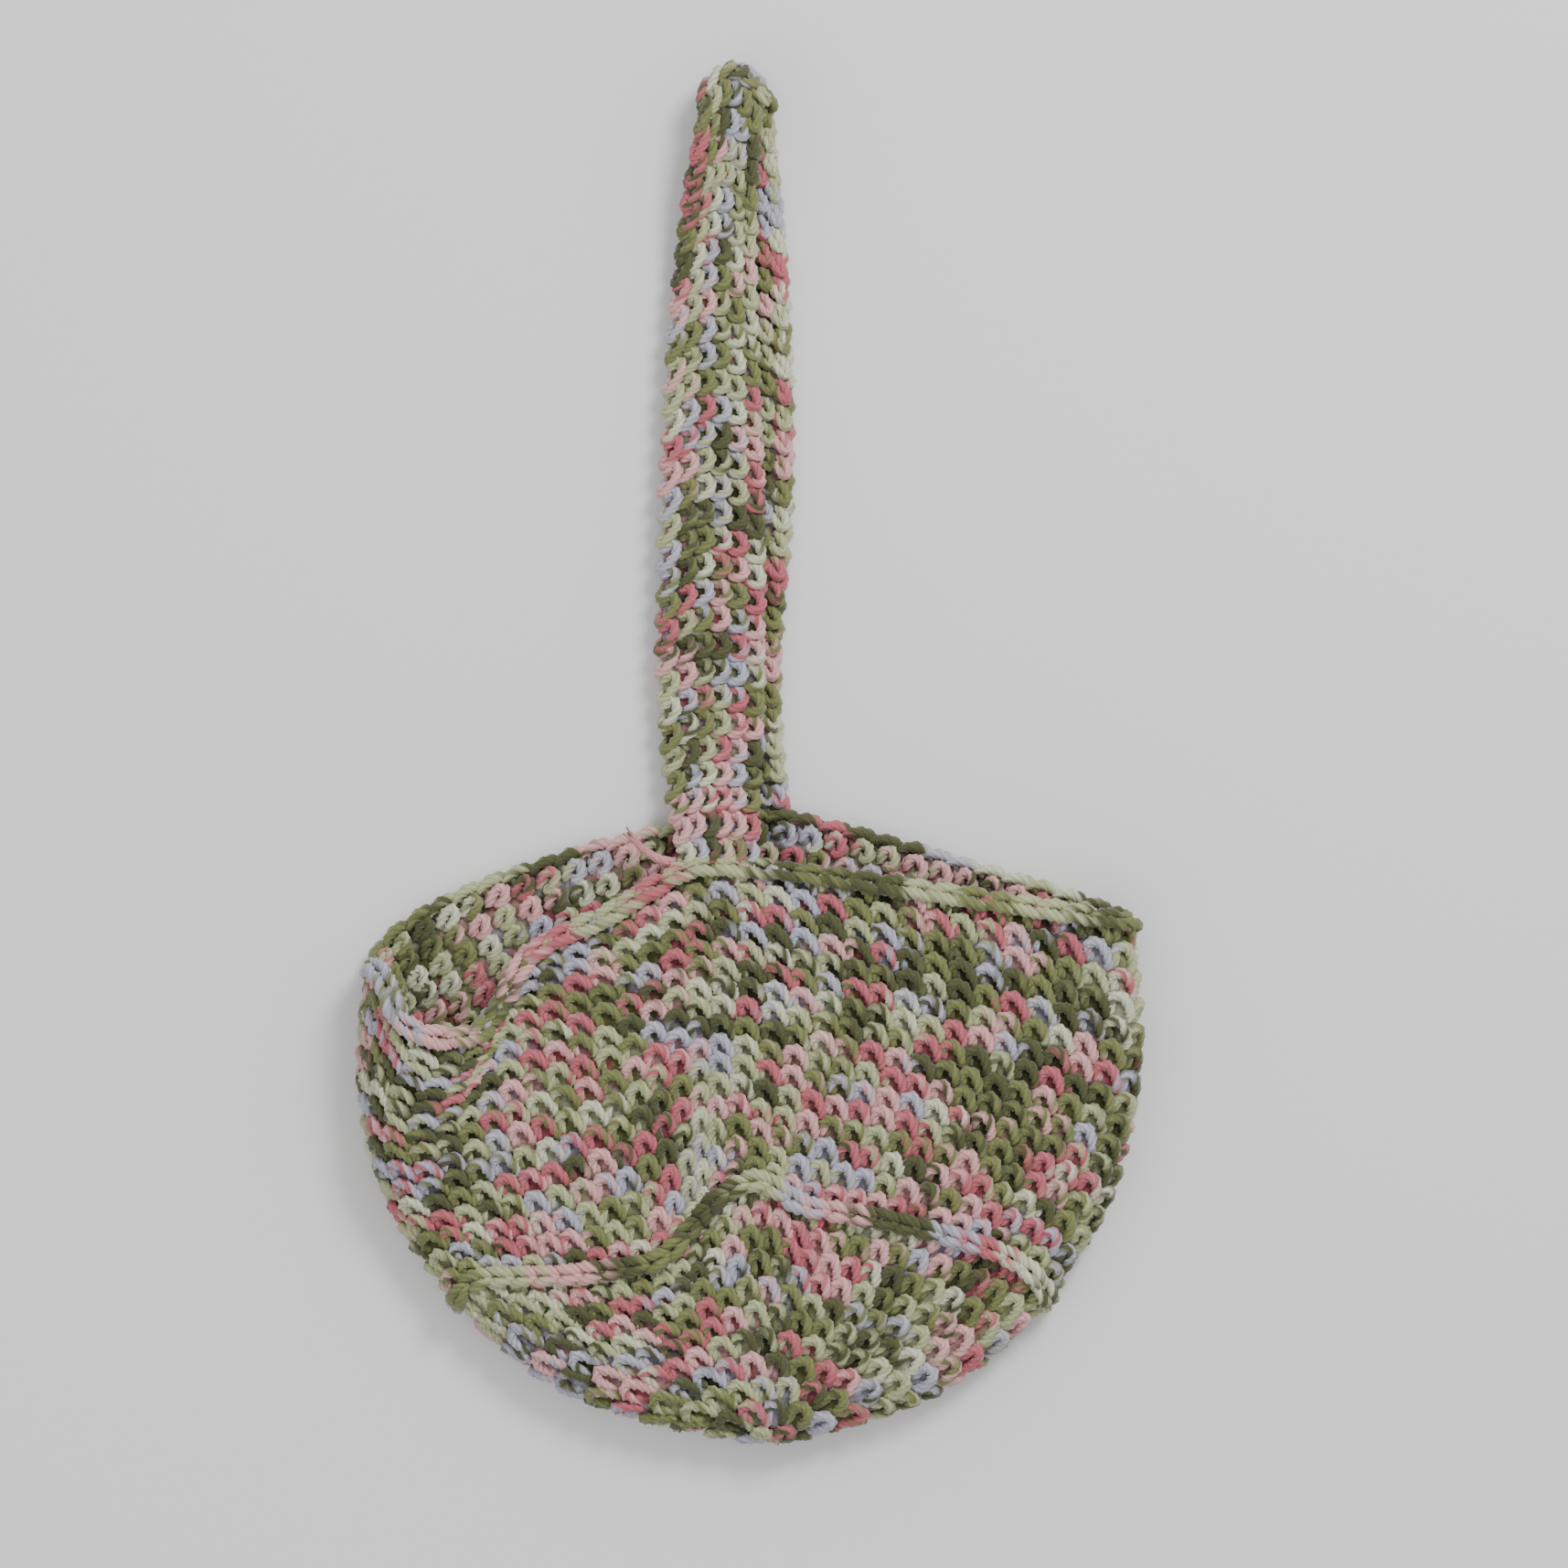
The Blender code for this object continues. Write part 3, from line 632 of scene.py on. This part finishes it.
def stitchRow(count, dice, unevenness):  # a row of stitches, each a little unlike the next
    across = []
    up = []
    out = []
    share = np.linspace(0.0, 1.0, len(stitchPath), endpoint=False)
    swell = np.sin(math.pi * share) ** 2
    for k in range(count):
        nudge = dice.normal(0.0, unevenness, 4)
        across.append(k + stitchPath[:, 0] * (1 + 0.5 * nudge[3] * swell) + nudge[0] * swell)
        up.append(stitchPath[:, 1] * (1 + nudge[3] * swell) + nudge[1] * swell)
        out.append(stitchPath[:, 2] * (1 + 1.5 * nudge[2] * swell) + 0.6 * nudge[2] * swell)
    return np.concatenate(across), np.concatenate(up), np.concatenate(out)


def ringTurns(course, shares):  # the turn round the pouch at each share of a ring's length
    turns = np.linspace(0.0, 1.0, pouch["around"] + 1)
    ring = onPouch(pouchPoints, np.full(len(turns), course), turns)
    along = alongLine(ring)
    whole = np.floor(shares)
    return np.interp((shares - whole) * along[-1], along, turns)


def pouchRow(course, rowCourse, count, shift, dice, unevenness):
    across, up, out = stitchRow(count, dice, unevenness)
    turn = ringTurns(course, -(across + shift) / count)
    courses = course + up * rowCourse
    middle = onPouch(pouchPoints, courses, turn)
    facing = onPouch(pouchFacing, courses, turn)
    return middle + facing * (out * mm)[:, None]


body = {
    "baseRounds": 11,
    "baseIncrease": 6,
    "wallRows": 16,
    "wallStitches": 65,
    "lean": 0.16,
    "unevenness": 0.06,
    "seed": 5,
    "wallPieces": {
        "wall_stitches_low": (0, 5),
        "wall_stitches_middle": (5, 10),
        "wall_stitches_high": (10, 16),
    },
}


def makeBody():
    dice = np.random.default_rng(body["seed"])
    used = 0.0
    strands = []
    rows = []
    step = pouch["ridgeCourse"] / body["baseRounds"]
    for k in range(body["baseRounds"]):
        count = body["baseIncrease"] * (k + 1)
        points = pouchRow((k + 0.55) * step, step, count, k * body["lean"], dice, body["unevenness"])
        strands.append((points, True, 1.0, used))
        rows.append((k * step, count, k * body["lean"], used, alongLine(points)[-1]))
        used += alongLine(points)[-1]
    pieces = [spinYarn("base_stitches", strands, bodyYarn, ("bag_base",))]
    step = (pouch["rimCourse"] - pouch["ridgeCourse"]) / body["wallRows"]
    for name, (first, last) in body["wallPieces"].items():
        strands = []
        for k in range(first, last):
            course = pouch["ridgeCourse"] + (k + 0.5) * step
            points = pouchRow(course, step, body["wallStitches"], k * body["lean"], dice, body["unevenness"])
            strands.append((points, True, 1.0, used))
            rows.append((course - step / 2, body["wallStitches"], k * body["lean"], used,
                         alongLine(points)[-1]))
            used += alongLine(points)[-1]
        pieces.append(spinYarn(name, strands, bodyYarn, ("bag_wall",)))
    return pieces, rows


# Chains of large links on the rim and the ridge. A link is a pair of leaf-shaped strands that start
# together between the last link's strands and spread apart. Sides and heights are in millimetres.

chainLink = {
    "length": 6.35,
    "along": [-0.05, 0.12, 0.40, 0.75, 1.08, 1.32, 1.42],
    "side": [0.10, 0.42, 0.95, 1.45, 1.70, 1.60, 1.30],
    "out": [-0.60, 0.55, 1.40, 1.60, 1.15, 0.25, -0.50],
    "thickness": [0.45, 0.80, 1.08, 1.12, 0.92, 0.62, 0.40],
    "points": 15,
    "unevenness": 0.05,
}
chains = {
    "rim_chain": {"links": 65, "start": 37.1, "towards": -1, "seed": 4, "drop": 1.1, "lift": 0.9,
                  "frontTilt": 32, "backTilt": 78, "width": 1.05, "replaces": "rim_edging"},
    "ridge_chain": {"links": 60, "start": 39.4, "towards": 1, "seed": 7, "drop": 0.0, "lift": 1.45,
                    "frontTilt": 0, "backTilt": 0, "width": 0.95, "replaces": "base_ridge"},
}


def makeLeaf():  # one strand of a link, evenly spaced, with its thickness
    scale = np.array([chainLink["length"], 1.0, 1.0])
    corners = np.stack([chainLink["along"], chainLink["side"], chainLink["out"]], axis=1) * scale
    leaf = smoothLine(corners, chainLink["points"]) / scale
    thickness = np.interp(leaf[:, 0], chainLink["along"], chainLink["thickness"])
    return leaf, thickness


def chainStrands(count, place, dice, start):  # place gives the middle, facing and sideways at each share
    leaf, thickness = makeLeaf()
    strands = []
    used = start
    for k in range(count):
        nudge = dice.normal(0.0, chainLink["unevenness"], 4)
        middle, facing, sideways = place((k + leaf[:, 0] + nudge[0]) / count)
        for side in (-1, 1):
            points = middle + sideways * (side * leaf[:, 1] * (1 + nudge[1 + (side > 0)]) * mm)[:, None]
            points = points + facing * (leaf[:, 2] * (1 + nudge[3]) * mm)[:, None]
            strands.append((points, False, thickness * (1 + nudge[1]), used))
        used += alongLine(points)[-1]
    return strands


def makePouchChain(name, course):
    settings = chains[name]
    dice = np.random.default_rng(settings["seed"])

    def place(share):
        turn = ringTurns(course, settings["towards"] * share)
        courses = np.full(len(turn), course)
        middle = onPouch(pouchPoints, courses, turn)
        outward = unitLength(onPouch(pouchFacing, courses, turn))
        ahead = onPouch(pouchPoints, courses, turn + 0.004) - onPouch(pouchPoints, courses, turn - 0.004)
        upward = unitLength(np.cross(outward, unitLength(ahead)))
        upward = upward * np.sign((upward * (middle - pouchPoints[0, 0])).sum(axis=1))[:, None]
        onFront = 0.5 + 0.5 * np.clip(np.sin(turn * 2 * math.pi) * 4, -1, 1)
        tilt = np.radians(settings["backTilt"] + (settings["frontTilt"] - settings["backTilt"]) * onFront)
        facing = outward * np.cos(tilt)[:, None] + upward * np.sin(tilt)[:, None]
        sideways = upward * np.cos(tilt)[:, None] - outward * np.sin(tilt)[:, None]
        middle = middle + facing * (settings["lift"] * mm) - upward * (settings["drop"] * mm)
        return middle, facing, sideways * settings["width"]

    strands = chainStrands(settings["links"], place, dice, settings["start"])
    return spinYarn(name, strands, edgingYarn, (settings["replaces"],))


# The strap: one band of lengthwise rows, folded over into a loop

strap = {
    "width": 25 * mm,
    "thickness": 4.2 * mm,
    "foldSpacing": 11 * mm,
    "arch": 8 * mm,
    "legGap": 0.5 * mm,
    "footGap": 0.6 * mm,
    "footFlat": 0.03,
    "footDown": 0.15,
    "loopRise": 0.78,
    "rows": 6,
    "stitchLength": 6.6 * mm,
    "legSteps": 60,
    "foldSteps": 24,
    "acrossSteps": 24,
    "unevenness": 0.04,
    "seed": 8,
    "yarnThickness": 0.93,
    "yarnStart": 41.0,
    "rowYarn": 1.7,
}

# Stations up each leg: the reach, and the middle and width in shares of the strap's width
strapStations = {
    "front": {
        "reach": [0.00, 0.06, 0.15, 0.50, 0.80, 1.00],
        "middle": [-0.335, -0.360, -0.395, -0.400, -0.360, -0.225],
        "width": [0.74, 0.82, 0.95, 1.00, 0.78, 0.58],
    },
    "back": {
        "reach": [0.00, 0.15, 0.50, 0.80, 1.00],
        "middle": [-0.020, -0.190, -0.105, -0.090, -0.115],
        "width": [0.76, 0.92, 1.00, 0.84, 0.62],
    },
}


def ease(share):
    share = min(max(share, 0.0), 1.0)
    return share * share * (3 - 2 * share)


def rimLine(leg):
    rim = pouchPoints[-1]
    half = pouch["around"] // 2
    if leg == "front":
        return rim[:half + 1][::-1]
    return np.concatenate([rim[half:], rim[:1]])


def legSection(leg, reach):
    stations = strapStations[leg]
    place = np.array([reach])
    middle = smoothColumn(stations, "reach", "middle", place)[0] * strap["width"]
    width = smoothColumn(stations, "reach", "width", place)[0] * strap["width"]
    return float(middle), float(width)


def makeStrapGrid():  # the middle of the band, from the front foot over the top to the back foot
    low = strap["thickness"] / 2
    stacked = low + strap["thickness"] + strap["legGap"]
    radius = strap["foldSpacing"] / 2
    foldY = -bagBottom - strap["thickness"] / 2 - radius
    spans = np.linspace(-1.0, 1.0, strap["acrossSteps"] + 1)
    legs = {}
    for leg in ("front", "back"):
        line = rimLine(leg)
        rows = []
        for reach in np.linspace(0.0, 1.0, strap["legSteps"]):
            middle, width = legSection(leg, reach)
            x = middle + width * spans / 2
            footY = np.interp(x, line[:, 0], line[:, 1]) + strap["footGap"]
            topY = foldY - strap["arch"] * spans ** 2
            y = footY + (topY - footY) * reach
            z = np.full(len(spans), low)
            if leg == "front":
                rimZ = np.interp(x, line[:, 0], line[:, 2])
                settled = ease((reach - strap["footFlat"]) / (strap["footDown"] - strap["footFlat"]))
                z = rimZ + (stacked - rimZ) * settled
                z = z + (low + 2 * radius - z) * ease((reach - strap["loopRise"]) / (1 - strap["loopRise"]))
            rows.append(np.stack([x, y, z], axis=1))
        legs[leg] = rows
    frontMiddle, frontWidth = legSection("front", 1.0)
    backMiddle, backWidth = legSection("back", 1.0)
    top = []
    for turn in np.linspace(0.0, 1.0, strap["foldSteps"] + 1)[1:-1]:
        middle = frontMiddle + (backMiddle - frontMiddle) * ease(turn)
        width = frontWidth + (backWidth - frontWidth) * ease(turn)
        y = foldY - strap["arch"] * spans ** 2 + radius * math.sin(turn * math.pi)
        z = np.full(len(spans), low + radius * (1 + math.cos(turn * math.pi)))
        top.append(np.stack([middle + width * spans / 2, y, z], axis=1))
    points = np.array(legs["front"] + top + legs["back"][::-1])
    alongRun = np.gradient(points, axis=0)
    acrossRun = np.gradient(points, axis=1)
    facing = unitLength(np.cross(acrossRun, alongRun))
    for _ in range(2):
        facing[1:-1] = facing[:-2] + 2 * facing[1:-1] + facing[2:]
        facing = unitLength(facing)
    return points, facing


def onStrap(field, along, across):  # along in steps, across from -1 to 1, a little past the edges too
    rows, columns = field.shape[:2]
    lower = np.clip(np.floor(along).astype(int), 0, rows - 2)
    rowShare = (along - lower)[..., None]
    column = (across + 1) / 2 * (columns - 1)
    left = np.clip(np.floor(column).astype(int), 0, columns - 2)
    columnShare = (column - left)[..., None]
    below = field[lower, left] * (1 - columnShare) + field[lower, left + 1] * columnShare
    above = field[lower + 1, left] * (1 - columnShare) + field[lower + 1, left + 1] * columnShare
    return below * (1 - rowShare) + above * rowShare


strapPoints, strapFacing = makeStrapGrid()


def makeStrapRows():
    dice = np.random.default_rng(strap["seed"])
    middle = len(strapPoints[0]) // 2
    distance = alongLine(strapPoints[:, middle])
    count = round(distance[-1] / strap["stitchLength"])
    steps = np.arange(len(strapPoints))
    strands = []
    used = strap["yarnStart"]
    for row in range(strap["rows"]):
        across, up, out = stitchRow(count, dice, strap["unevenness"])
        place = distance[-1] - (across + 0.5) / count * distance[-1]
        along = np.interp(place, distance, steps)
        side = -1 + 2 * (row + 0.5 + up) / strap["rows"]
        points = onStrap(strapPoints, along, side)
        facing = unitLength(onStrap(strapFacing, along, side))
        points = points + facing * (out * mm)[:, None]
        strands.append((points, False, strap["yarnThickness"], used))
        used += alongLine(points)[-1]
    return spinYarn("strap_stitches", strands, strapYarn, ("strap",))


# The end of the yarn: its plies lie twisted beside the strap's foot and fray apart at the tip

tail = {
    "plies": 6,
    "points": 18,
    "bundle": 0.62 * mm,
    "turns": 1.4,
    "fray": 1.1 * mm,
    "droop": 1.2 * mm,
    "thickness": 0.50,
    "tipThickness": 0.16,
    "colour": (0.62, 0.27, 0.29),
    "seed": 3,
}


def makeTail():
    dice = np.random.default_rng(tail["seed"])
    low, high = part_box("yarn_tail")
    start = np.array([high[0], low[1], high[2]]) + np.array([-0.4, 1.5, -1.4]) * mm
    reach = np.array([low[0] - high[0], high[1] - low[1]]) + np.array([0.9, -2.2]) * mm
    strands = []
    for k in range(tail["plies"]):
        share = np.linspace(0.0, dice.uniform(0.84, 1.0), tail["points"])
        angle = 2 * math.pi * (k / tail["plies"] + tail["turns"] * share)
        spread = tail["bundle"] * (1 - 0.5 * share) + tail["fray"] * dice.uniform(0.4, 1.0) * share ** 5
        x = start[0] + reach[0] * share + 0.4 * spread * np.cos(angle)
        y = start[1] + reach[1] * share ** 2 + spread * np.cos(angle)
        z = start[2] - tail["droop"] * share ** 4 + 0.8 * spread * np.sin(angle)
        thickness = tail["thickness"] + (tail["tipThickness"] - tail["thickness"]) * share ** 2
        strands.append((np.stack([x, y, z], axis=1), False, thickness, 0.0))
    return spinYarn("frayed_tail", strands, tailYarn, ("yarn_tail",), tail["colour"])


# The yarn in the middle of the fabric, which closes it between the stitches

# The sheets take the stitches' yarn colour, darkened in their material as painted shade for the shade deep
# between the stitches.
packed = {
    "thickness": 1.0 * mm,
    "aroundSteps": 216,
    "courseSteps": 40,
    "strapSteps": 90,
    "strapAcross": 10,
    "strapInset": 0.9,
}


def rowColours(rows, turn, course):  # the colour of the stitches over each point of the pouch
    courses = np.array([row[0] for row in rows])
    index = np.clip(np.searchsorted(courses, course, side="right") - 1, 0, len(rows) - 1)
    steps = np.linspace(0.0, 1.0, pouch["around"] + 1)
    distance = np.zeros(len(turn))
    for k, (start, count, shift, used, length) in enumerate(rows):
        here = index == k
        ring = onPouch(pouchPoints, np.full(len(steps), start), steps)
        along = alongLine(ring)
        share = np.interp(turn[here], steps, along / max(along[-1], 1e-9))
        across = np.mod(-share * count - shift, count)
        distance[here] = used + across / count * length
    return colourAlong(distance)


def makePackedSheet(name, columns, rows, place, colour):
    sheet = bmesh.new()
    bmesh.ops.create_grid(sheet, x_segments=columns, y_segments=rows, size=0.5)
    shares = np.array([[vert.co.x + 0.5, vert.co.y + 0.5] for vert in sheet.verts])
    points = place(shares[:, 0], shares[:, 1])
    shades = colour(shares[:, 0], shares[:, 1])
    layer = sheet.verts.layers.float_color.new("yarnColour")
    for vert, point, shade in zip(sheet.verts, points, shades):
        vert.co = point
        vert[layer] = (*shade, 1.0)
    bmesh.ops.remove_doubles(sheet, verts=sheet.verts[:], dist=0.02 * mm)
    bmesh.ops.recalc_face_normals(sheet, faces=sheet.faces[:])
    for face in sheet.faces:
        face.smooth = True
    mesh = bpy.data.meshes.new(name)
    sheet.to_mesh(mesh)
    sheet.free()
    mesh.materials.append(packedYarnPaintedShade)
    piece = bpy.data.objects.new(name, mesh)
    bpy.context.scene.collection.objects.link(piece)
    wall = piece.modifiers.new("thickness", "SOLIDIFY")
    wall.thickness = packed["thickness"]
    wall.offset = 0.0
    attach(piece, "root")
    return piece


def strapColours(side, share):  # the colour of the rows over each point of the strap
    row = np.floor(side * strap["rows"])
    return colourAlong(strap["yarnStart"] + strap["rowYarn"] * row + share)


def makePackedYarn(rows):
    ridge = pouch["ridgeCourse"]
    rim = pouch["rimCourse"] - 0.03
    base = makePackedSheet("base_packed_yarn", packed["aroundSteps"], packed["courseSteps"],
                           lambda turn, share: onPouch(pouchPoints, share * ridge, turn),
                           lambda turn, share: rowColours(rows, turn, share * ridge))
    wall = makePackedSheet("wall_packed_yarn", packed["aroundSteps"], packed["courseSteps"],
                           lambda turn, share: onPouch(pouchPoints, ridge + share * (rim - ridge), turn),
                           lambda turn, share: rowColours(rows, turn, ridge + share * (rim - ridge)))
    length = len(strapPoints) - 1
    band = makePackedSheet("strap_packed_yarn", packed["strapAcross"], packed["strapSteps"],
                           lambda side, share: onStrap(strapPoints, share * length,
                                                       (2 * side - 1) * packed["strapInset"]),
                           strapColours)
    return base, wall, band


def declareFabric(base, wall, band, bodyPieces, rimChain, ridgeChain, strapRows):
    print("fabric made")


# Stage, lights and camera

stageLook = {
    "photoWidth": 0.39445,
    "middleX": 0.00828,
    "middleY": -0.00759,
    "cameraHeight": 2.2,
    "floorColour": (0.78, 0.78, 0.785, 1),
    "floorSize": 6.0,
    "worldStrength": 0.86,
    "keyPlace": (0.55, 0.75, 1.1),
    "keySize": 0.5,
    "keyPower": 14.5,
    "fillPlace": (-0.8, -0.6, 0.9),
    "fillSize": 0.9,
    "fillPower": 2.5,
}


def makeStage():
    bpy.ops.mesh.primitive_plane_add(size=stageLook["floorSize"], location=(0, 0, -0.2 * mm))
    floor = bpy.context.object
    floor.name = "floor"
    material = bpy.data.materials.new("floor_cloth")
    material.use_nodes = True
    shader = material.node_tree.nodes["Principled BSDF"]
    shader.inputs["Base Color"].default_value = stageLook["floorColour"]
    shader.inputs["Roughness"].default_value = 0.9
    shader.inputs["Specular IOR Level"].default_value = 0.1
    floor.data.materials.append(material)


def addLight(name, place, target, size, power):
    data = bpy.data.lights.new(name, "AREA")
    data.shape = "DISK"
    data.size = size
    data.energy = power
    light = bpy.data.objects.new(name, data)
    bpy.context.scene.collection.objects.link(light)
    light.location = place
    aim = bpy.data.objects.new(name + "Aim", None)
    bpy.context.scene.collection.objects.link(aim)
    aim.location = target
    track = light.constraints.new("TRACK_TO")
    track.target = aim
    track.track_axis = "TRACK_NEGATIVE_Z"
    track.up_axis = "UP_Y"


def makeLightsAndCamera():
    world = bpy.data.worlds.new("softSky")
    bpy.context.scene.world = world
    world.use_nodes = True
    sky = world.node_tree.nodes["Background"]
    sky.inputs["Color"].default_value = (1.0, 1.0, 1.0, 1)
    sky.inputs["Strength"].default_value = stageLook["worldStrength"]
    for name in ("key", "fill"):
        addLight(name, stageLook[name + "Place"], (0, 0, 0), stageLook[name + "Size"],
                 stageLook[name + "Power"])
    data = bpy.data.cameras.new("camera")
    data.sensor_width = 36.0
    data.lens = 36.0 * stageLook["cameraHeight"] / stageLook["photoWidth"]
    data.clip_end = 20.0
    camera = bpy.data.objects.new("camera", data)
    bpy.context.scene.collection.objects.link(camera)
    camera.location = (stageLook["middleX"], stageLook["middleY"], stageLook["cameraHeight"])
    bpy.context.scene.camera = camera


makeStage()
makeLightsAndCamera()
print("stage, lights and camera ready")
bodyPieces, bodyRows = makeBody()
rimChain = makePouchChain("rim_chain", pouch["rimCourse"])
ridgeChain = makePouchChain("ridge_chain", pouch["ridgeCourse"])
strapRows = makeStrapRows()
makeTail()
packedSheets = makePackedYarn(bodyRows)
declareFabric(*packedSheets, bodyPieces, rimChain, ridgeChain, strapRows)

bpy.data.objects.remove(plyProfile)
